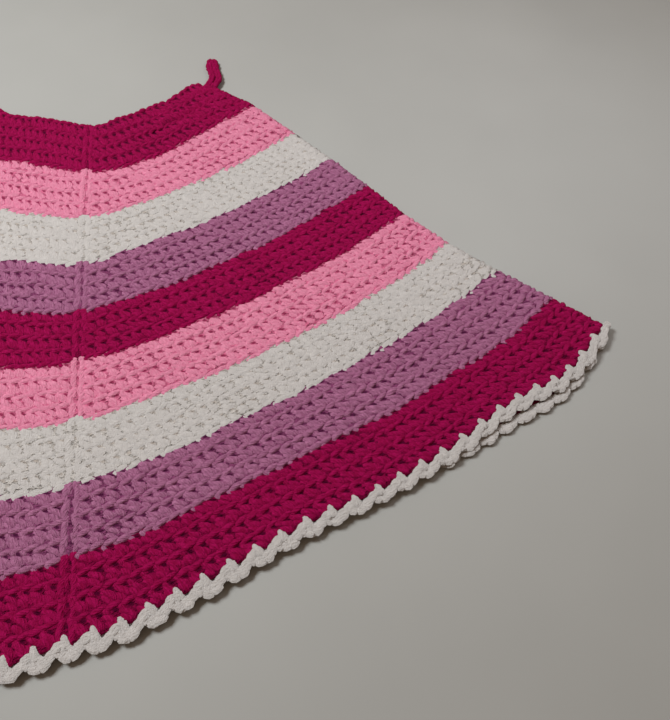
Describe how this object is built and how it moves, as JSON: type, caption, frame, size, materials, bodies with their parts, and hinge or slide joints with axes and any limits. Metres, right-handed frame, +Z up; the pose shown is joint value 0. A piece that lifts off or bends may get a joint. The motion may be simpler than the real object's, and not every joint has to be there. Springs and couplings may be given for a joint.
{
  "type": "crocheted striped skirt, lying flat",
  "caption": "Flared crocheted skirt in coloured bands with a scalloped edging, laid flat, with a small loop at the waist.",
  "frame": {"origin": "bottom centre of the skirt's box as it lies flat, on the surface that it lies on", "axes": "+Z up from the surface, +Y from the hem to the waist, +X to the fold that carries the waist loop"},
  "size_m": [0.7035, 0.4879, 0.0074],
  "materials": {
    "yarn_magenta": "matt acrylic yarn",
    "yarn_pink": "matt acrylic yarn",
    "yarn_white": "matt acrylic yarn",
    "yarn_lilac": "matt acrylic yarn"
  },
  "bodies": {
    "root": {"stripe_1_magenta": "yarn_magenta", "stripe_2_pink": "yarn_pink", "stripe_3_white": "yarn_white", "stripe_4_lilac": "yarn_lilac", "stripe_5_magenta": "yarn_magenta", "stripe_6_pink": "yarn_pink", "stripe_7_white": "yarn_white", "stripe_8_lilac": "yarn_lilac", "stripe_9_magenta": "yarn_magenta", "edging_front": "yarn_white", "edging_back": "yarn_white", "waist_loop": "yarn_magenta"}
  },
  "joints": []
}
